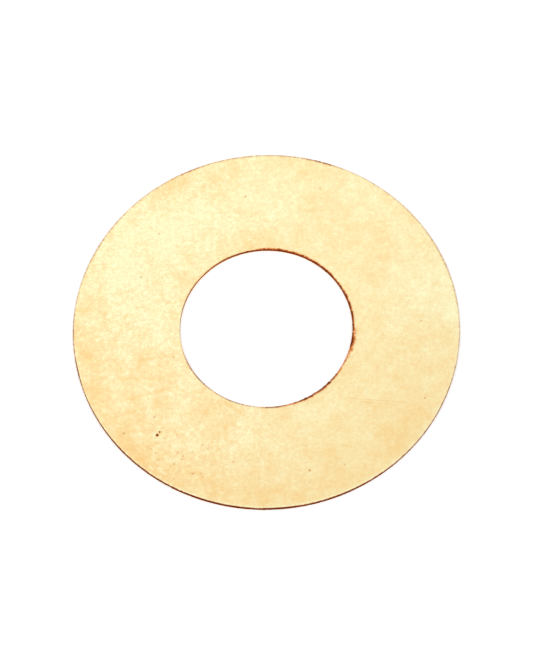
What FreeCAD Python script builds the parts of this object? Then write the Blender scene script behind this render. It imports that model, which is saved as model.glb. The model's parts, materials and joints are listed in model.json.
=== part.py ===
"""Flat washer, pierced and blanked from thin phosphor-bronze sheet.

The washer is one piece of metal, so it is one solid. It lies on the XY plane: the origin is the
centre of the hole at the lower face, and +Z runs up the hole.

A progressive die makes it. The punch that pierces the hole enters at the lower face, and the
blank is cut the other way, so the two cut edges have the same section turned over. From the face
where each cut starts it has a rounded die roll, a smooth burnished land, a fracture that stands
back from the land, and an edge whose burr has been tumbled away. The rim's die roll is at the
upper face and the hole's is at the lower one. The two faces are flat and parallel.
"""

import FreeCAD, Part
import math
import os

# The blank, in millimetres
OUTER_DIAMETER = 44.45  # 1 3/4 in
HOLE_DIAMETER = 19.84  # 25/32 in, a loose fit on a 3/4 in shaft
THICKNESS = 0.508  # 0.020 in sheet

# The section of a cut edge, in millimetres
DIE_ROLL_RADIUS = 0.06  # where the sheet bent over before it sheared
BURNISHED_HEIGHT = 0.19  # the land that the tool ironed square and smooth
FRACTURE_SETBACK = 0.012  # how far the torn zone stands back from the land
BROKEN_EDGE_RADIUS = 0.03  # the last edge to part, after tumbling

# The two sides of the ring that a cut edge can face, and the two ways a cut can run
RIM_SIDE = 1
HOLE_SIDE = -1
DOWNWARD = -1
UPWARD = 1


def at(radius, height):
    """A point or an offset in the XZ plane, which holds the section."""
    return FreeCAD.Vector(radius, 0, height)


def line(start, end):
    return Part.LineSegment(start, end).toShape()


def rounded_corner(centre, radius, side, towards_face):
    """A quarter circle between a face and a cut wall, as its face end, its wall end and its edge."""
    face_end = centre + at(0, towards_face * radius)
    wall_end = centre + at(side * radius, 0)
    reach = radius * math.cos(math.pi / 4)
    middle = centre + at(side * reach, towards_face * reach)
    return face_end, wall_end, Part.Arc(face_end, middle, wall_end).toShape()


def cut_edge(wall_radius, side, way):
    """One cut edge of the section: its end on the face where the cut starts, its end on the face
    where the cut comes out, and its edges. The metal lies inside the wall on the rim side and
    outside it on the hole side.
    """
    start_height, end_height = (THICKNESS, 0) if way == DOWNWARD else (0, THICKNESS)
    fracture_radius = wall_radius - side * FRACTURE_SETBACK
    roll_centre = at(
        wall_radius - side * DIE_ROLL_RADIUS, start_height + way * DIE_ROLL_RADIUS
    )
    exit_centre = at(
        fracture_radius - side * BROKEN_EDGE_RADIUS, end_height - way * BROKEN_EDGE_RADIUS
    )
    start, land_start, die_roll = rounded_corner(roll_centre, DIE_ROLL_RADIUS, side, -way)
    end, fracture_end, broken_edge = rounded_corner(exit_centre, BROKEN_EDGE_RADIUS, side, way)
    land_end = land_start + at(0, way * BURNISHED_HEIGHT)
    land = line(land_start, land_end)
    fracture = line(land_end, fracture_end)
    return start, end, [die_roll, land, fracture, broken_edge]


def flat_washer():
    """The ring, revolved from its section about the axis of the hole."""
    rim_top, rim_bottom, rim = cut_edge(OUTER_DIAMETER / 2, RIM_SIDE, DOWNWARD)
    hole_bottom, hole_top, hole = cut_edge(HOLE_DIAMETER / 2, HOLE_SIDE, UPWARD)
    upper_face = line(hole_top, rim_top)
    lower_face = line(rim_bottom, hole_bottom)
    outline = Part.__sortEdges__([upper_face, *rim, lower_face, *hole])
    section = Part.Face(Part.Wire(outline))
    axis_point = FreeCAD.Vector(0, 0, 0)
    axis = FreeCAD.Vector(0, 0, 1)
    return section.revolve(axis_point, axis, 360)


def main():
    os.makedirs("parts", exist_ok=True)
    washer = flat_washer()
    washer.exportStep("parts/flat_washer.step")
    print("flat_washer", washer.ShapeType, "valid", washer.isValid())
    print("volume", round(washer.Volume, 2), "mm3, box", washer.BoundBox)


main()
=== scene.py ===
"""Looks of a flat bronze washer: one finely meshed ring in place of the plain CAD ring, lying on a
pale floor under soft studio light.

The mesh gives the ring its rounded and torn cut edges, the burr and nicks of its hole, and a sheet
that is not quite flat. The rolled bronze of its faces has mottled tarnish, specks, scratches and
stained edges, with painted light: paler towards the back left, warmer towards the front, and a
painted highlight beside the rim. Its dull film is partly painted shade. The sheared bronze of its
cut walls has a burnished land and a torn zone.
"""

import json
import math

import bmesh
import bpy
from mathutils import Matrix, Vector, noise


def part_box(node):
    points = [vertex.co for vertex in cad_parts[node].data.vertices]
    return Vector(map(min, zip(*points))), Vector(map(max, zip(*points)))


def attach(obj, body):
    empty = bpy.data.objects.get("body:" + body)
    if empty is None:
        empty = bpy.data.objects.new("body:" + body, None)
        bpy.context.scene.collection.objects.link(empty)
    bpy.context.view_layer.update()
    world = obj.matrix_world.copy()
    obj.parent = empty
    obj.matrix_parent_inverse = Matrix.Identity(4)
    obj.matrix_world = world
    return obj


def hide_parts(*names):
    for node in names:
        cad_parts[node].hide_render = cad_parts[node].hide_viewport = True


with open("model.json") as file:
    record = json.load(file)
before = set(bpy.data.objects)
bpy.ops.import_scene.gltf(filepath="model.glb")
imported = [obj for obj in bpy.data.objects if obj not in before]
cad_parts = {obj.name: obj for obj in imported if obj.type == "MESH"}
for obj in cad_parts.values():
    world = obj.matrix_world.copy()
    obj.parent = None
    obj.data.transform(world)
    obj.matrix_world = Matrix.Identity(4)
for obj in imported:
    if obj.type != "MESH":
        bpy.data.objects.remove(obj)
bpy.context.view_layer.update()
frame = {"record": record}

MM = 0.001  # sizes are in millimetres unless a comment says otherwise; meshes are in metres

# ------------------------------------------------------------------ the ring, from the frame
NODE = "flat_washer"
LOW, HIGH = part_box(NODE)
BORE = next(mount for mount in frame["record"]["mounts"] if mount["name"] == "bore")
RIM_RADIUS = (HIGH.x - LOW.x) / 2 / MM
HOLE_RADIUS = BORE["dims"]["r_mm"]
THICKNESS = (HIGH.z - LOW.z) / MM

# The CAD's section of a cut edge, from the face where the cut starts to the one where it comes out
DIE_ROLL_RADIUS = 0.06
LAND_HEIGHT = BORE["dims"]["length_mm"]  # the bore mount is the hole's land
FRACTURE_SETBACK = 0.012
BROKEN_EDGE_RADIUS = 0.03
RIM_SIDE, HOLE_SIDE = 1, -1
DOWNWARD, UPWARD = -1, 1

# How finely the ring is meshed
STEPS_ROUND = 1300
UPPER_RINGS = 22
LOWER_RINGS = 8
ROLL_RINGS = 6
LAND_RINGS = 3
FRACTURE_RINGS = 4
CORNER_RINGS = 2
EDGE_RINGS = (0.05, 0.12, 0.25)  # how far extra rings of the upper face lie from its two edges

# Kinds of surface along the section, and the two material slots
FACE = "face"
ROUNDED = "rounded corner"
WALL_LAND = "land"
WALL_TORN = "torn wall"
ROLLED_SLOT, SHEARED_SLOT = 0, 1

# Noise that shapes the ring, as (feature size, shift): the shift makes each differ from the rest
SHEET_WAVES = (9.0, 0.0)
DRAG_LINES = (0.12, 0.0)
TORN_GRAIN = (0.10, 0.0)
TORN_FLAKES = (0.26, 3.0)
BURR_PATCHES = (0.5, 4.0)
BURR_TEETH = (0.17, 5.0)
BURR_CREST = (0.24, 9.0)

# The sheet is not quite flat: a faint saddle, and waves left by the rolls
BOW_HEIGHT = 0.05
BOW_DIRECTION = math.radians(44)
WAVE_HEIGHT = 0.006

# How deep the cut walls are marked
DRAG_DEPTH = 0.002
GRAIN_DEPTH = 0.010
FLAKE_DEPTH = 0.008

# The burr on the upper edge of the hole: how far its teeth reach, and how it rises
BURR_REACH = 0.09
BURR_HEIGHT = 0.045
BURR_MEAN_RISE = 0.4  # as a share of its height
BURR_MEAN, BURR_SPREAD = 0.75, 0.5  # how strong its patches are, and how much that varies

# Nicks in the same edge, as (degrees round the ring from +X, half width, depth)
HOLE_NICKS = [(99.5, 0.16, 0.10), (66.0, 0.12, 0.07), (148.0, 0.10, 0.04)]
NICK_WIDTH = 0.12  # on the face
NICK_DROP = 0.6  # how much of its depth a nick also goes down

# Where the burr stands, and where the upper face is tarnished beside its two edges, as stretches of
# (degrees round the ring from +X, half length along the edge, strength, width on the face)
ALL_ROUND = math.inf
BURR_STRETCHES = [
    (72.0, 6.0, 1.0, 0.24),
    (26.0, 14.0, 1.2, 0.23),
    (1.0, 8.5, 1.5, 0.31),
    (-7.0, 0.6, 1.0, 0.72),
    (-12.0, 0.6, 1.1, 0.78),
    (-15.0, 1.1, 1.5, 0.50),
    (-19.0, 0.7, 1.0, 0.62),
    (-24.0, 1.0, 0.8, 0.45),
    (-56.0, 6.0, 1.5, 0.36),
]
HOLE_TARNISH_STRETCHES = [
    (115.0, 5.0, 0.5, 0.12),
    (148.0, 4.0, 0.4, 0.13),
    (212.0, 5.5, 0.75, 0.23),
    (244.0, 5.0, 0.7, 0.20),
    (274.0, 3.5, 0.85, 0.27),
    (-35.0, 6.0, 0.7, 0.15),
]
RIM_TARNISH_STRETCHES = [
    (0.0, ALL_ROUND, 0.40, 0.12),
    (22.0, 20.0, 0.36, 0.32),
    (70.0, 5.0, 0.60, 0.36),
    (95.0, 42.0, 0.36, 0.36),
    (110.0, 4.0, 0.55, 0.36),
    (145.0, 14.0, 0.38, 0.36),
    (180.0, 9.0, 0.60, 0.20),
    (191.0, 4.0, 1.0, 0.20),
    (216.0, 17.0, 1.2, 0.11),
    (250.0, 12.0, 1.1, 0.12),
    (271.0, 5.0, 1.2, 0.12),
    (288.0, 14.0, 0.8, 0.11),
    (-25.0, 9.0, 0.5, 0.14),
    (-16.7, 0.4, 0.8, 0.20),
    (-8.3, 0.4, 0.7, 0.18),
]
# A painted highlight on the band beside the rim's die roll: faint all round, strong at the front
RIM_HIGHLIGHT_STRETCHES = [
    (0.0, ALL_ROUND, 0.1, 0.3),
    (270.0, 45.0, 1.0, 0.3),
]


# ------------------------------------------------------------------ the ring's shape
def falloff(distance, half_width):
    """1 at the middle of a feature, falling smoothly to 0 at its half width."""
    share = min(abs(distance) / half_width, 1)
    return (1 - share * share) ** 2


def arc_distance(angle, degrees, radius):
    """How far along a circle an angle lies from a direction given in degrees."""
    turn = (angle - math.radians(degrees) + math.pi) % (2 * math.pi) - math.pi
    return turn * radius


def flat_place(radius, angle):
    """The X and Y of a point of the ring."""
    return radius * math.cos(angle), radius * math.sin(angle)


def grain(x, y, z, size, shift):
    """Smooth noise from -1 to 1 with features about this size."""
    return noise.noise(Vector((x / size + shift, y / size - shift, z / size + 2 * shift)))


def rounded_corner(wall_radius, side, face_height, way, corner_radius, count):
    """Points of a quarter circle that leads from a face into a wall, as (radius, height)."""
    points = []
    for step in range(count + 1):
        turn = math.pi / 2 * step / count
        radius = wall_radius - side * corner_radius * (1 - math.sin(turn))
        points.append((radius, face_height + way * corner_radius * (1 - math.cos(turn))))
    return points


def edge_section(wall_radius, side, way):
    """One cut edge as (radius, height, kind) points, in the order in which it was cut."""
    start, end = (THICKNESS, 0) if way == DOWNWARD else (0, THICKNESS)
    torn_radius = wall_radius - side * FRACTURE_SETBACK
    land_start = start + way * DIE_ROLL_RADIUS
    land_end = land_start + way * LAND_HEIGHT
    torn_end = end - way * BROKEN_EDGE_RADIUS
    roll = rounded_corner(wall_radius, side, start, way, DIE_ROLL_RADIUS, ROLL_RINGS)
    corner = rounded_corner(torn_radius, side, end, -way, BROKEN_EDGE_RADIUS, CORNER_RINGS)
    points = [(radius, height, ROUNDED) for radius, height in roll]
    for ring in range(1, LAND_RINGS + 1):
        share = ring / LAND_RINGS
        points.append((wall_radius, land_start + share * (land_end - land_start), WALL_LAND))
    for ring in range(1, FRACTURE_RINGS + 1):
        share = ring / (FRACTURE_RINGS + 1)
        radius = wall_radius + share * (torn_radius - wall_radius)
        points.append((radius, land_end + share * (torn_end - land_end), WALL_TORN))
    points += [(radius, height, ROUNDED) for radius, height in reversed(corner)]
    return points


def face_rings(start, end, height, count, edge_rings=()):
    """Rings of a face between two radii, without its two ends."""
    way = 1 if end > start else -1
    radii = [start + (end - start) * ring / (count + 1) for ring in range(1, count + 1)]
    radii += [start + way * distance for distance in edge_rings]
    radii += [end - way * distance for distance in edge_rings]
    return [(radius, height, FACE) for radius in sorted(radii, reverse=way < 0)]


def ring_section():
    """The closed section: down the rim, in along the lower face, up the hole and out again."""
    rim = edge_section(RIM_RADIUS, RIM_SIDE, DOWNWARD)
    hole = edge_section(HOLE_RADIUS, HOLE_SIDE, UPWARD)
    lower = face_rings(rim[-1][0], hole[0][0], 0, LOWER_RINGS)
    upper = face_rings(hole[-1][0], rim[0][0], THICKNESS, UPPER_RINGS, EDGE_RINGS)
    return rim + lower + hole + upper


def sheet_form(x, y):
    """How far the sheet's middle stands above a flat plane."""
    reach = math.hypot(x, y) / RIM_RADIUS
    saddle = BOW_HEIGHT * reach**2 * math.cos(2 * (math.atan2(y, x) - BOW_DIRECTION))
    return saddle + WAVE_HEIGHT * grain(x, y, 0, *SHEET_WAVES)


def upper_share(height):
    """1 at the upper face, 0 from halfway down the wall."""
    return max(0.0, 2 * height / THICKNESS - 1)


def along_edge(stretches, edge_radius, from_edge, angle):
    """The strongest of an edge's stretches at a place beside it."""
    strengths = []
    for degrees, half_length, peak, width in stretches:
        along = falloff(arc_distance(angle, degrees, edge_radius), half_length)
        strengths.append(peak * along * falloff(from_edge, width))
    return max(strengths)


def burr(radius, height, angle):
    """How strong the burr at the hole's upper edge is at a point, from 0 to 1."""
    from_edge = radius - HOLE_RADIUS - FRACTURE_SETBACK
    strength = along_edge(BURR_STRETCHES, HOLE_RADIUS, from_edge, angle)
    patchy = BURR_MEAN + BURR_SPREAD * grain(*flat_place(radius, angle), 0, *BURR_PATCHES)
    return min(1.0, strength * patchy) * upper_share(height)


def edge_tarnish(radius, height, angle):
    """How tarnished the upper face is beside its two edges."""
    on_rim = along_edge(RIM_TARNISH_STRETCHES, RIM_RADIUS, RIM_RADIUS - radius, angle)
    on_hole = along_edge(HOLE_TARNISH_STRETCHES, HOLE_RADIUS, radius - HOLE_RADIUS, angle)
    return max(on_rim, on_hole) * upper_share(height)


def rim_highlight(radius, height, angle):
    """How strong the painted highlight is on the upper face beside the rim's die roll."""
    from_roll = RIM_RADIUS - DIE_ROLL_RADIUS - radius
    return along_edge(RIM_HIGHLIGHT_STRETCHES, RIM_RADIUS, from_roll, angle) * upper_share(height)


def hole_edge_shift(radius, height, angle):
    """Radial and vertical shift of a point at the hole's upper edge, from its burr and nicks."""
    strength = burr(radius, height, angle)
    x, y = flat_place(radius, angle)
    outward = strength * BURR_REACH * grain(x, y, height, *BURR_TEETH)
    upward = strength * BURR_HEIGHT * (BURR_MEAN_RISE + grain(x, y, 0, *BURR_CREST))
    at_edge = falloff(radius - HOLE_RADIUS, NICK_WIDTH) * upper_share(height)
    for degrees, half_width, depth in HOLE_NICKS:
        nick = falloff(arc_distance(angle, degrees, HOLE_RADIUS), half_width) * at_edge * depth
        outward += nick
        upward -= NICK_DROP * nick
    return outward, upward


def wall_texture(radius, height, angle, kind):
    """Radial roughness of a cut wall: faint drag lines on the land, torn grain on the fracture."""
    x, y = flat_place(radius, angle)
    if kind == WALL_LAND:
        return DRAG_DEPTH * grain(x, y, 0, *DRAG_LINES)
    if kind == WALL_TORN:
        torn = GRAIN_DEPTH * grain(x, y, height, *TORN_GRAIN)
        return torn + FLAKE_DEPTH * grain(x, y, height, *TORN_FLAKES)
    return 0.0


def place(radius, height, kind, angle):
    """A point of the finished ring, in millimetres."""
    outward, upward = hole_edge_shift(radius, height, angle)
    radius += outward + wall_texture(radius, height, angle, kind)
    x, y = flat_place(radius, angle)
    return Vector((x, y, height + upward + sheet_form(x, y)))


# ------------------------------------------------------------------ the ring's mesh
# Surface states of each vertex: burr, edge tarnish and the painted highlight beside the rim
SURFACE_STATES = {"burr": burr, "edge_tarnish": edge_tarnish, "worn": rim_highlight}


def mesh_object(name, bm):
    """A new object of the scene from a bmesh, which this frees."""
    mesh = bpy.data.meshes.new(name)
    bm.to_mesh(mesh)
    bm.free()
    piece = bpy.data.objects.new(name, mesh)
    bpy.context.scene.collection.objects.link(piece)
    return piece


def add_column(bm, layers, section, angle):
    """One section of the ring as vertices, each with its surface states."""
    column = []
    for radius, height, kind in section:
        vertex = bm.verts.new(place(radius, height, kind, angle) * MM)
        for name, state in SURFACE_STATES.items():
            vertex[layers[name]] = state(radius, height, angle)
        column.append(vertex)
    return column


def join_columns(bm, section, here, there):
    """Faces between two neighbouring sections. The cut walls get the sheared material."""
    for ring in range(len(section)):
        after = (ring + 1) % len(section)
        quad = bm.faces.new((here[ring], here[after], there[after], there[ring]))
        quad.smooth = True
        kinds = (section[ring][2], section[after][2])
        is_wall = WALL_LAND in kinds or WALL_TORN in kinds
        quad.material_index = SHEARED_SLOT if is_wall else ROLLED_SLOT


def build_washer():
    """The ring as one closed mesh. Attributes: its burr, tarnish and painted rim highlight."""
    section = ring_section()
    bm = bmesh.new()
    layers = {name: bm.verts.layers.float.new(name) for name in SURFACE_STATES}
    columns = []
    for step in range(STEPS_ROUND):
        angle = 2 * math.pi * step / STEPS_ROUND
        columns.append(add_column(bm, layers, section, angle))
    for here, there in zip(columns, columns[1:] + columns[:1]):
        join_columns(bm, section, here, there)
    lowest = min(vertex.co.z for vertex in bm.verts)
    bmesh.ops.translate(bm, verts=bm.verts, vec=(0, 0, LOW.z - lowest))
    bmesh.ops.recalc_face_normals(bm, faces=bm.faces)
    return mesh_object("washer", bm)


# ------------------------------------------------------------------ shader helpers
MIDDLE = 0.5  # the middle value of a noise field
WHITE = (1.0, 1.0, 1.0)

# A Mix node's colour sockets share their names with its other sockets, so they go by number
MIX_SHARE, MIX_FIRST, MIX_SECOND = 0, 6, 7
MIX_RESULT = 2


def add_node(tree, kind, sockets=None, **properties):
    """A new shader node. sockets gives an input, by name or number, a value or a socket to link."""
    new = tree.nodes.new(kind)
    for name, value in properties.items():
        setattr(new, name, value)
    for name, value in (sockets or {}).items():
        if isinstance(value, bpy.types.NodeSocket):
            tree.links.new(value, new.inputs[name])
        else:
            new.inputs[name].default_value = value
    return new


def opaque(colour):
    """A colour with the alpha that a colour socket needs."""
    return (*colour, 1.0)


def calculate(tree, operation, first, second=0.0, third=0.0):
    """The result of a Math node. Its values are numbers or sockets."""
    sockets = {0: first, 1: second, 2: third}
    return add_node(tree, "ShaderNodeMath", sockets, operation=operation).outputs[0]


def vector_math(tree, operation, first, second=(0, 0, 0)):
    """The outputs of a Vector Math node: 0 is a vector, and "Value" a length or a distance."""
    sockets = {0: first, 1: second}
    return add_node(tree, "ShaderNodeVectorMath", sockets, operation=operation).outputs


def millimetre_coordinates(tree):
    """Where a point lies in the washer's own frame, in millimetres."""
    coordinates = add_node(tree, "ShaderNodeTexCoord").outputs["Object"]
    sockets = {0: coordinates, "Scale": 1 / MM}
    return add_node(tree, "ShaderNodeVectorMath", sockets, operation="SCALE").outputs[0]


def axes_of(tree, vector):
    """The X, Y and Z of a vector, as sockets with those names."""
    return add_node(tree, "ShaderNodeSeparateXYZ", {0: vector}).outputs


def turned(tree, coordinates, direction):
    """Coordinates turned so that their X runs along a direction in the sheet."""
    sockets = {"Vector": coordinates, "Angle": -direction}
    return add_node(tree, "ShaderNodeVectorRotate", sockets, rotation_type="Z_AXIS").outputs[0]


def noise_field(tree, coordinates, size, detail, roughness):
    """Noise about 0.5 with features of this size."""
    sockets = {"Vector": coordinates, "Scale": 1 / size, "Detail": detail, "Roughness": roughness}
    return add_node(tree, "ShaderNodeTexNoise", sockets).outputs[0]


def smooth_step(tree, value, low, high):
    """0 at one value and 1 at another, with a smooth rise between them."""
    sockets = {"Value": value, "From Min": low, "From Max": high}
    step = add_node(tree, "ShaderNodeMapRange", sockets, interpolation_type="SMOOTHSTEP")
    return step.outputs[0]


def limited(tree, value):
    """The value kept between 0 and 1."""
    return add_node(tree, "ShaderNodeClamp", {"Value": value}).outputs[0]


def weighted_sum(tree, start, fields, weights):
    """start plus each named field's distance from its middle, times its weight."""
    total = start
    for name, weight in weights.items():
        centred = calculate(tree, "SUBTRACT", fields[name], MIDDLE)
        total = calculate(tree, "MULTIPLY_ADD", centred, weight, total)
    return total


def strongest(tree, masks):
    """The largest of several masks at each place."""
    largest = masks[0]
    for mask in masks[1:]:
        largest = calculate(tree, "MAXIMUM", largest, mask)
    return largest


def mix_colour(tree, share, first, second):
    """A blend from the first colour to the second. Each is a colour or a socket."""
    sockets = {MIX_SHARE: share}
    for number, value in ((MIX_FIRST, first), (MIX_SECOND, second)):
        sockets[number] = value if isinstance(value, bpy.types.NodeSocket) else opaque(value)
    return add_node(tree, "ShaderNodeMix", sockets, data_type="RGBA").outputs[MIX_RESULT]


def attribute(tree, name):
    """A surface state of the ring, by name."""
    return add_node(tree, "ShaderNodeAttribute", attribute_name=name).outputs["Fac"]


def relief(tree, height, depth):
    """A normal from a height field whose whole range is this deep."""
    sockets = {"Height": height, "Distance": depth * MM}
    return add_node(tree, "ShaderNodeBump", sockets).outputs[0]


def new_material(name):
    """A material with one Principled shader, as (material, node tree, shader)."""
    material = bpy.data.materials.new(name)
    material.use_nodes = True
    tree = material.node_tree
    return material, tree, tree.nodes["Principled BSDF"]


def finish_metal(tree, shader, colour, roughness, normal, edge_tint):
    """Makes the shader metallic. The edge tint dims its reflections at grazing angles."""
    shader.inputs["Metallic"].default_value = 1.0
    shader.inputs["Specular Tint"].default_value = opaque(edge_tint)
    tree.links.new(colour, shader.inputs["Base Color"])
    tree.links.new(roughness, shader.inputs["Roughness"])
    tree.links.new(normal, shader.inputs["Normal"])


def round_patch(tree, coordinates, x, y, radius, core=0.0):
    """1 within a core about a point of the upper face, falling smoothly to 0 at a radius."""
    distance = vector_math(tree, "DISTANCE", coordinates, (x, y, THICKNESS))["Value"]
    return smooth_step(tree, distance, radius, core)


def line_mask(tree, coordinates, start, end, half_width):
    """1 along a straight line in the sheet, fading out over a quarter of its length at each end."""
    along = Vector(end) - Vector(start)
    middle = (Vector(start) + Vector(end)) / 2
    centred = vector_math(tree, "SUBTRACT", coordinates, (*middle, 0))[0]
    axes = axes_of(tree, turned(tree, centred, math.atan2(along.y, along.x)))
    from_middle = calculate(tree, "ABSOLUTE", axes["X"])
    from_line = calculate(tree, "ABSOLUTE", axes["Y"])
    quarter = along.length / 4
    length_share = smooth_step(tree, from_middle, 2 * quarter, quarter)
    width_share = smooth_step(tree, from_line, half_width, 0.0)
    return calculate(tree, "MULTIPLY", length_share, width_share)


def line_masks(tree, coordinates, lines):
    """1 along several lines, each given as (start, end, half width)."""
    return strongest(tree, [line_mask(tree, coordinates, *line) for line in lines])


def scattered_specks(tree, coordinates, spacing, radius, core, cutoff):
    """Specks of up to this radius, scattered over the sheet. A higher cutoff gives more of them."""
    sockets = {"Vector": coordinates, "Scale": 1 / spacing, "Randomness": 1.0}
    cells = add_node(tree, "ShaderNodeTexVoronoi", sockets)
    near = smooth_step(tree, cells.outputs["Distance"], radius / spacing, core / spacing)
    chosen = calculate(tree, "LESS_THAN", cells.outputs["Color"], cutoff)
    return calculate(tree, "MULTIPLY", near, chosen)


# ------------------------------------------------------------------ the rolled sheet
PALE_BRONZE = (0.755, 0.732, 0.458)
WARM_BRONZE = (0.725, 0.525, 0.23)
DEEP_BRONZE = (0.70, 0.36, 0.075)
# The dull film's colour, partly painted shade
FILM_AND_SHADE_BRONZE = (0.68, 0.50, 0.27)
SPECK_ORANGE = (0.50, 0.20, 0.045)
SPECK_BROWN = (0.17, 0.028, 0.003)
TARNISH_COPPER = (0.40, 0.16, 0.05)
BURR_COPPER = (0.55, 0.17, 0.045)
EDGE_COPPER = (0.14, 0.03, 0.005)
FACE_EDGE_TINT = (0.9, 0.7, 0.5)

# Noise that mottles the sheet, as (feature size, detail, roughness)
SHEET_NOISE = {
    "cloud": (6.0, 2.0, 0.55),
    "blotch": (1.5, 3.0, 0.6),
    "mottle": (0.55, 3.0, 0.6),
    "fine": (0.24, 3.0, 0.6),
}
ROLLING_LINES = (0.22, 3.0, 0.6)
ROLLING_DIRECTION = math.radians(-4)
ROLLING_STRETCH = 8.0

# How much of each noise goes into the tone, the film and its painted shade, the ragged edges, the
# gloss and the relief
TONE_NOISE = {"cloud": 1.2, "blotch": 1.4, "mottle": 1.3, "fine": 0.9, "lines": 0.3}
FILM_AND_SHADE_NOISE = {"mottle": 0.8, "fine": 1.4}
EDGE_NOISE = {"mottle": 1.0, "fine": 2.0}
GLOSS_NOISE = {"blotch": 0.15, "fine": 0.20, "lines": 0.12}
RELIEF_NOISE = {"blotch": 0.6, "mottle": 0.3, "fine": 0.3, "lines": 0.2}
EVEN_SIDE = (8.0, -14.0)  # X where the mottling is even, and where it is fully uneven
EVEN_SHARE = 0.6  # how much of the mottling the even side has

# The sheet's tone runs from 0, pale, over 1, warm, to 2, deep
MEAN_TONE = 0.5
STREAK_TONE = 0.35
# How much paler the tone is at the rubs and at the painted highlight beside the rim
HIGHLIGHT_AND_RUB_TONE = -0.9
MEAN_FILM_AND_SHADE = 0.3  # how much of a thin dull film, partly painted shade, covers it

FACE_ROUGHNESS = 0.33
SPECK_ROUGHNESS = 0.25  # what a speck adds to it
FACE_RELIEF = 0.016
MARK_DEPTH = 0.6  # of specks and scratches, as a share of the relief

# Stains along the edges, by the attribute that says how deep each is: the depths over which it
# covers the bronze, the depths over which it darkens, and its two colours
EDGE_STAINS = {
    "edge_tarnish": ((0.0, 0.6), (0.3, 0.9), TARNISH_COPPER, EDGE_COPPER),
    "burr": ((0.05, 0.45), (0.4, 0.85), BURR_COPPER, EDGE_COPPER),
}

# Tarnish that the eye can pick out, and painted light, as (x, y, radius, tone); a minus sign is a
# paler place. Most paler places lie towards the back left and most warmer ones towards the front:
# there they paint light falling from the back left. Here and below, x and y are from the middle of
# the hole.
TARNISH_AND_PAINTED_LIGHT = [
    (-19.0, -12.5, 7.0, 0.54),
    (-12.5, -18.0, 6.5, 0.45),
    (-4.0, -20.5, 8.0, 0.35),
    (6.0, -20.0, 8.0, 0.28),
    (15.0, -14.0, 10.0, 0.24),
    (-15.0, -5.5, 4.5, 0.25),
    (-21.0, -2.0, 3.5, 0.25),
    (-21.0, -7.5, 3.5, 0.40),
    (-6.0, -10.5, 4.0, 0.22),
    (20.5, -7.5, 4.0, 0.22),
    (0.0, 11.5, 4.0, 0.20),
    (-10.5, 18.0, 3.5, 0.25),
    (-14.0, 10.5, 7.5, -0.70),
    (-8.0, 14.5, 6.5, -0.60),
    (0.5, 16.5, 6.0, -0.40),
    (-18.5, 7.0, 5.0, -0.25),
    (-14.0, 0.5, 6.5, -0.45),
    (-11.5, 4.0, 4.0, -0.20),
    (20.0, 4.0, 8.0, -0.36),
    (22.0, 0.5, 2.2, -0.45),
    (11.5, 18.0, 6.0, -0.28),
    (9.5, -16.0, 4.0, -0.18),
]
# Warm streaks, pale rubs and scratches, as (start, end, half width)
STREAKS = [
    ((-5.9, -8.5), (-2.7, -11.0), 0.40),
    ((-20.5, -5.0), (-11.0, -5.8), 0.45),
    ((-17.5, -8.2), (-9.5, -6.6), 0.40),
    ((-16.0, -3.4), (-10.0, -2.6), 0.35),
]
RUBS = [
    ((-14.3, -16.2), (-13.6, -16.7), 0.16),
    ((-13.5, -16.5), (-12.5, -16.7), 0.16),
    ((-13.2, -16.7), (-12.0, -17.55), 0.16),
    ((-13.4, -17.4), (-12.7, -17.8), 0.16),
]
SCRATCHES = [
    ((7.8, -9.3), (16.8, -10.6), 0.07),
    ((9.4, -9.9), (14.6, -10.6), 0.06),
    ((2.6, -21.3), (4.3, -18.6), 0.07),
    ((-12.5, 2.6), (-8.5, 6.0), 0.04),
]
SCRATCH_STRENGTH = 0.28

# Specks that stand out, as (x, y, radius, strength). Strong ones are brown, and faint ones orange.
SPECKS = [
    (-13.05, -12.56, 0.30, 1.0),
    (-12.75, -12.2, 0.21, 1.0),
    (-13.35, -12.95, 0.13, 0.8),
    (-13.3, -10.3, 0.19, 0.6),
    (-16.8, -12.1, 0.22, 0.7),
    (-8.0, -14.1, 0.19, 0.5),
    (-10.4, -15.7, 0.18, 0.6),
    (-9.7, -16.5, 0.16, 0.7),
    (-9.2, -17.5, 0.20, 0.6),
    (-8.3, -17.5, 0.15, 0.75),
    (-4.6, -16.4, 0.19, 0.45),
    (-10.8, -3.1, 0.22, 0.3),
    (-14.1, 7.3, 0.21, 0.45),
    (-11.8, 12.7, 0.16, 0.5),
    (-1.5, 16.9, 0.20, 0.5),
    (7.3, 17.3, 0.20, 0.45),
    (17.8, -0.4, 0.15, 0.6),
    (17.5, -10.0, 0.16, 0.6),
    (7.9, -17.5, 0.18, 0.45),
    (3.9, -17.95, 0.20, 0.75),
]
SPECK_CORE = 0.4  # the part of a speck's radius that is fully dark
BROWN_FROM = (0.6, 1.0)  # the strengths over which a speck turns from orange to brown

# Scattered specks, and the pits of one place, as (spacing, radius, fully dark radius, cutoff)
STRAY_SPECKS = (1.9, 0.10, 0.03, 0.16)
STRAY_STRENGTH = 0.8
PITS = (0.65, 0.22, 0.05, 0.5)
PIT_STRENGTH = 0.42
PITTED_PLACE = (-11.0, -16.0, 7.5)  # (x, y, radius)


def sheet_noise(tree, coordinates):
    """The noise fields that mottle the sheet, by name."""
    fields = {name: noise_field(tree, coordinates, *form) for name, form in SHEET_NOISE.items()}
    along_rolls = turned(tree, coordinates, ROLLING_DIRECTION)
    drawn_out = vector_math(tree, "MULTIPLY", along_rolls, (1 / ROLLING_STRETCH, 1, 1))[0]
    fields["lines"] = noise_field(tree, drawn_out, *ROLLING_LINES)
    return fields


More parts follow.
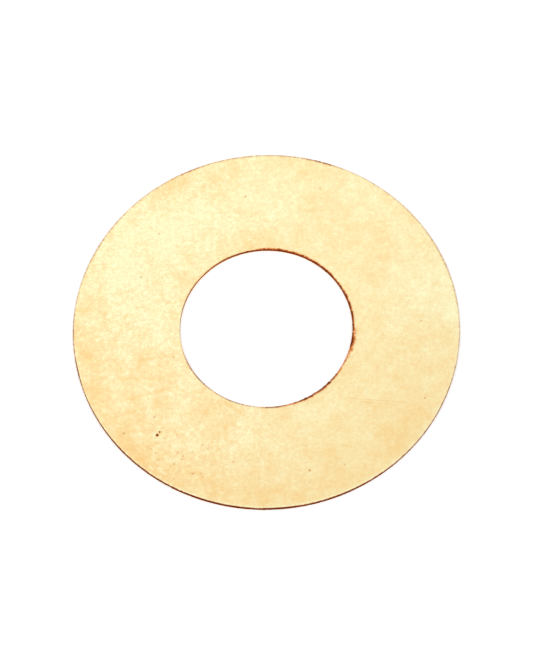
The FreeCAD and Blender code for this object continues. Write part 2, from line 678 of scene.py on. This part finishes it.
def sheet_tone(tree, coordinates, fields, unevenness):
    """How tarnished the sheet is, with painted light: 0 is pale, 1 is warm and 2 is deep."""
    mottling = weighted_sum(tree, 0.0, fields, TONE_NOISE)
    tone = calculate(tree, "ADD", calculate(tree, "MULTIPLY", mottling, unevenness), MEAN_TONE)
    # Tarnish patches, which also paint light from the back left: paler there, warmer at the front
    for x, y, radius, change in TARNISH_AND_PAINTED_LIGHT:
        patch = round_patch(tree, coordinates, x, y, radius)
        tone = calculate(tree, "MULTIPLY_ADD", patch, change, tone)
    streaks = line_masks(tree, coordinates, STREAKS)
    tone = calculate(tree, "MULTIPLY_ADD", streaks, STREAK_TONE, tone)
    # Paler at the rubs, and where the highlight beside the rim is painted
    worn = strongest(tree, [attribute(tree, "worn"), line_masks(tree, coordinates, RUBS)])
    return calculate(tree, "MULTIPLY_ADD", worn, HIGHLIGHT_AND_RUB_TONE, tone)


def sheet_colour(tree, coordinates, fields):
    """Mottled bronze under its film, which is partly painted shade."""
    uneven_side = smooth_step(tree, axes_of(tree, coordinates)["X"], *EVEN_SIDE)
    unevenness = calculate(tree, "MULTIPLY_ADD", uneven_side, 1 - EVEN_SHARE, EVEN_SHARE)
    tone = sheet_tone(tree, coordinates, fields, unevenness)
    colour = mix_colour(tree, limited(tree, tone), PALE_BRONZE, WARM_BRONZE)
    beyond_warm = limited(tree, calculate(tree, "SUBTRACT", tone, 1.0))
    colour = mix_colour(tree, beyond_warm, colour, DEEP_BRONZE)
    # The dull film, partly painted shade that stands in for light on the sheet's fine relief
    film_and_shade = limited(tree, weighted_sum(tree, MEAN_FILM_AND_SHADE, fields, FILM_AND_SHADE_NOISE))
    film_and_shade = calculate(tree, "MULTIPLY", film_and_shade, unevenness)
    return mix_colour(tree, film_and_shade, colour, FILM_AND_SHADE_BRONZE)


def speck_mask(tree, coordinates):
    """How strong a speck or pit is at each place."""
    stray = scattered_specks(tree, coordinates, *STRAY_SPECKS)
    pits = scattered_specks(tree, coordinates, *PITS)
    pitted_place = round_patch(tree, coordinates, *PITTED_PLACE)
    pit_strength = calculate(tree, "MULTIPLY", pitted_place, PIT_STRENGTH)
    marks = [calculate(tree, "MULTIPLY", stray, STRAY_STRENGTH)]
    marks.append(calculate(tree, "MULTIPLY", pits, pit_strength))
    for x, y, radius, strength in SPECKS:
        mark = round_patch(tree, coordinates, x, y, radius, SPECK_CORE * radius)
        marks.append(calculate(tree, "MULTIPLY", mark, strength))
    return strongest(tree, marks)


def with_marks(tree, colour, specks, scratches):
    """The colour with its specks and scratches."""
    browning = smooth_step(tree, specks, *BROWN_FROM)
    speck_colour = mix_colour(tree, browning, SPECK_ORANGE, SPECK_BROWN)
    colour = mix_colour(tree, specks, colour, speck_colour)
    scratches = calculate(tree, "MULTIPLY", scratches, SCRATCH_STRENGTH)
    return mix_colour(tree, scratches, colour, SPECK_ORANGE)


def with_edge_stains(tree, colour, fields):
    """The colour with the tarnish and the burr of its edges, both broken up by the mottling."""
    ragged = weighted_sum(tree, 1.0, fields, EDGE_NOISE)
    for name, (cover, darkening, light_stain, dark_stain) in EDGE_STAINS.items():
        depth = calculate(tree, "MULTIPLY", attribute(tree, name), ragged)
        darkness = smooth_step(tree, depth, *darkening)
        stain = mix_colour(tree, darkness, light_stain, dark_stain)
        colour = mix_colour(tree, smooth_step(tree, depth, *cover), colour, stain)
    return colour


def rolled_bronze():
    """Satin cold-rolled bronze faces: mottled tarnish, marks, stained edges, painted light."""
    material, tree, shader = new_material("rolled_bronze")
    coordinates = millimetre_coordinates(tree)
    fields = sheet_noise(tree, coordinates)
    specks = speck_mask(tree, coordinates)
    scratches = line_masks(tree, coordinates, SCRATCHES)
    colour = sheet_colour(tree, coordinates, fields)
    colour = with_marks(tree, colour, specks, scratches)
    colour = with_edge_stains(tree, colour, fields)
    roughness = weighted_sum(tree, FACE_ROUGHNESS, fields, GLOSS_NOISE)
    roughness = calculate(tree, "MULTIPLY_ADD", specks, SPECK_ROUGHNESS, roughness)
    height = weighted_sum(tree, MIDDLE, fields, RELIEF_NOISE)
    marks = strongest(tree, [specks, scratches])
    height = calculate(tree, "MULTIPLY_ADD", marks, -MARK_DEPTH, height)
    normal = relief(tree, height, FACE_RELIEF)
    finish_metal(tree, shader, colour, roughness, normal, FACE_EDGE_TINT)
    return material


# ------------------------------------------------------------------ the cut walls
BURNISHED_COPPER = (0.42, 0.10, 0.022)
TORN_COPPER = (0.22, 0.045, 0.008)
RIM_COPPER = (0.06, 0.014, 0.003)
RIM_WALL_DARKENING = 0.6  # the rim's wall is darker than the hole's
RUBBED_COPPER = (0.54, 0.22, 0.05)
RUBBED_PLACE = (-7.0, 7.0, 7.0)  # where something has rubbed the hole's wall: (x, y, radius)
RUBBED_STRENGTH = 0.6
WALL_EDGE_TINT = (0.72, 0.33, 0.13)

# Noise of the walls, as (feature size, detail, roughness)
WALL_NOISE = {"ragged": (0.35, 3.0, 0.55), "fine": (0.06, 3.0, 0.6)}
WALL_DRAG = (0.05, 2.0, 0.55)
DRAG_STRETCH = 12.5  # drag lines run down the wall
LAND_END_BLEND = (-0.03, 0.01)  # how far around its end the land turns into the fracture
LAND_END_NOISE = {"ragged": 0.12}  # how far that end wanders up and down the wall
LAND_ROUGHNESS = 0.34
LAND_GLOSS_NOISE = {"drag": 0.2}
TORN_ROUGHNESS = 0.62
TORN_GLOSS_NOISE = {"fine": 0.3}
WALL_RELIEF = 0.010
WALL_RELIEF_NOISE = {"drag": 1.0, "fine": 1.0}


def wall_noise(tree, coordinates):
    """The noise fields of the walls, by name."""
    fields = {name: noise_field(tree, coordinates, *form) for name, form in WALL_NOISE.items()}
    drawn_out = vector_math(tree, "MULTIPLY", coordinates, (1, 1, 1 / DRAG_STRETCH))[0]
    fields["drag"] = noise_field(tree, drawn_out, *WALL_DRAG)
    return fields


def rim_mask(tree, coordinates):
    """1 on the rim's wall and 0 on the hole's."""
    distance = vector_math(tree, "LENGTH", coordinates)["Value"]
    return calculate(tree, "GREATER_THAN", distance, (RIM_RADIUS + HOLE_RADIUS) / 2)


def torn_mask(tree, coordinates, on_rim, fields):
    """1 on the fracture and 0 on the land. The rim was cut downwards, and the hole upwards."""
    height = axes_of(tree, coordinates)["Z"]
    from_top = calculate(tree, "SUBTRACT", THICKNESS, height)
    difference = calculate(tree, "SUBTRACT", from_top, height)
    cut_depth = calculate(tree, "MULTIPLY_ADD", difference, on_rim, height)
    cut_depth = weighted_sum(tree, cut_depth, fields, LAND_END_NOISE)
    blend_start, blend_end = LAND_END_BLEND
    land_end = DIE_ROLL_RADIUS + LAND_HEIGHT
    return smooth_step(tree, cut_depth, land_end + blend_start, land_end + blend_end)


def wall_colour(tree, coordinates, on_rim, torn, fields):
    """Copper brown, darker where it is torn and on the rim, and lighter where it is rubbed."""
    land_colour = mix_colour(tree, fields["drag"], BURNISHED_COPPER, TORN_COPPER)
    torn_colour = mix_colour(tree, fields["fine"], TORN_COPPER, SPECK_BROWN)
    colour = mix_colour(tree, torn, land_colour, torn_colour)
    rim_share = calculate(tree, "MULTIPLY", on_rim, RIM_WALL_DARKENING)
    colour = mix_colour(tree, rim_share, colour, RIM_COPPER)
    rubbed = round_patch(tree, coordinates, *RUBBED_PLACE)
    rubbed = calculate(tree, "MULTIPLY", rubbed, RUBBED_STRENGTH)
    return mix_colour(tree, rubbed, colour, RUBBED_COPPER)


def sheared_bronze():
    """A press-cut wall: a burnished land and torn grain."""
    material, tree, shader = new_material("sheared_bronze")
    coordinates = millimetre_coordinates(tree)
    fields = wall_noise(tree, coordinates)
    on_rim = rim_mask(tree, coordinates)
    torn = torn_mask(tree, coordinates, on_rim, fields)
    colour = wall_colour(tree, coordinates, on_rim, torn, fields)
    land_roughness = weighted_sum(tree, LAND_ROUGHNESS, fields, LAND_GLOSS_NOISE)
    torn_roughness = weighted_sum(tree, TORN_ROUGHNESS, fields, TORN_GLOSS_NOISE)
    step = calculate(tree, "SUBTRACT", torn_roughness, land_roughness)
    roughness = calculate(tree, "MULTIPLY_ADD", step, torn, land_roughness)
    height = weighted_sum(tree, MIDDLE, fields, WALL_RELIEF_NOISE)
    normal = relief(tree, height, WALL_RELIEF)
    finish_metal(tree, shader, colour, roughness, normal, WALL_EDGE_TINT)
    return material


# ------------------------------------------------------------------ stage, light and camera
FLOOR_HALF_SIZE = 2.0  # metres
FLOOR_CELLS = 8
FLOOR_COLOUR = (0.94, 0.94, 0.94)
FLOOR_ROUGHNESS = 0.9
FLOOR_GLOSS = 0.1

HORIZON_BRIGHTNESS = 1.0
ZENITH_BRIGHTNESS = 1.12
FRONT_BRIGHTNESS = 0.75  # what the room's front side adds
RISE = (0.0, 0.6)  # the Z of a direction at the horizon, and where the light is that of the zenith
FRONT = (0.3, -0.5)  # the Y of a direction where the front side begins, and where it is brightest

KEY_DISTANCE = 0.6  # metres
KEY_SIZE = (0.50, 0.42)  # metres
KEY_AZIMUTH = math.radians(115)
KEY_ELEVATION = math.radians(52)
KEY_POWER = 0.30  # watts

CAMERA_AZIMUTH = math.radians(-90)
CAMERA_ELEVATION = math.radians(66.0)
CAMERA_ROLL = math.radians(3.5)
CAMERA_DISTANCE = 15.35 * RIM_RADIUS
CAMERA_CLIP = (0.01, 20.0)  # metres
LENS = 160.4
AIM = (0.0, -0.5)  # the X and Y of the floor at the middle of the picture


def pale_floor():
    """The floor's matt material."""
    material, _, shader = new_material("pale_floor")
    shader.inputs["Base Color"].default_value = opaque(FLOOR_COLOUR)
    shader.inputs["Roughness"].default_value = FLOOR_ROUGHNESS
    shader.inputs["Specular IOR Level"].default_value = FLOOR_GLOSS
    return material


def add_floor():
    """A plain floor at the height of the washer's lower face."""
    bm = bmesh.new()
    bmesh.ops.create_grid(bm, x_segments=FLOOR_CELLS, y_segments=FLOOR_CELLS, size=FLOOR_HALF_SIZE)
    bmesh.ops.translate(bm, verts=bm.verts, vec=(0, 0, LOW.z))
    floor = mesh_object("floor", bm)
    floor.data.materials.append(pale_floor())


def direction(azimuth, elevation):
    """The unit vector of an azimuth, counted from +X, and an elevation."""
    flat = math.cos(elevation)
    return Vector((flat * math.cos(azimuth), flat * math.sin(azimuth), math.sin(elevation)))


def add_room():
    """A pale room: even light from above, dimmer at the horizon and brighter from the front."""
    world = bpy.data.worlds.new("pale_room")
    world.use_nodes = True
    tree = world.node_tree
    axes = axes_of(tree, add_node(tree, "ShaderNodeTexCoord").outputs["Generated"])
    rise = smooth_step(tree, axes["Z"], *RISE)
    step = ZENITH_BRIGHTNESS - HORIZON_BRIGHTNESS
    brightness = calculate(tree, "MULTIPLY_ADD", rise, step, HORIZON_BRIGHTNESS)
    front = smooth_step(tree, axes["Y"], *FRONT)
    brightness = calculate(tree, "MULTIPLY_ADD", front, FRONT_BRIGHTNESS, brightness)
    background = tree.nodes["Background"]
    background.inputs["Color"].default_value = opaque(WHITE)
    tree.links.new(brightness, background.inputs["Strength"])
    bpy.context.scene.world = world


def add_softbox():
    """One large soft lamp behind the washer, which the camera doesn't see."""
    light = bpy.data.lights.new("softbox", "AREA")
    light.shape = "RECTANGLE"
    light.size, light.size_y = KEY_SIZE
    light.energy = KEY_POWER
    lamp = bpy.data.objects.new("softbox", light)
    lamp.location = direction(KEY_AZIMUTH, KEY_ELEVATION) * KEY_DISTANCE
    lamp.rotation_euler = lamp.location.to_track_quat("Z", "Y").to_euler()
    lamp.visible_camera = False
    bpy.context.scene.collection.objects.link(lamp)


def add_camera():
    """A camera that looks at the washer from above its front, slightly rolled."""
    data = bpy.data.cameras.new("camera")
    data.lens = LENS
    data.clip_start, data.clip_end = CAMERA_CLIP
    camera = bpy.data.objects.new("camera", data)
    aim = Vector((AIM[0] * MM, AIM[1] * MM, LOW.z))
    towards_camera = direction(CAMERA_AZIMUTH, CAMERA_ELEVATION)
    facing = towards_camera.to_track_quat("Z", "Y").to_matrix().to_4x4()
    roll = Matrix.Rotation(-CAMERA_ROLL, 4, "Z")
    stand = Matrix.Translation(aim + towards_camera * CAMERA_DISTANCE * MM)
    camera.matrix_world = stand @ facing @ roll
    bpy.context.scene.collection.objects.link(camera)
    bpy.context.scene.camera = camera


# ------------------------------------------------------------------ the scene
add_camera()
add_room()
add_softbox()
add_floor()

washer = build_washer()
washer.data.materials.append(rolled_bronze())
washer.data.materials.append(sheared_bronze())
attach(washer, "root")
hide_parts(NODE)

bpy.context.scene.view_settings.view_transform = "Standard"
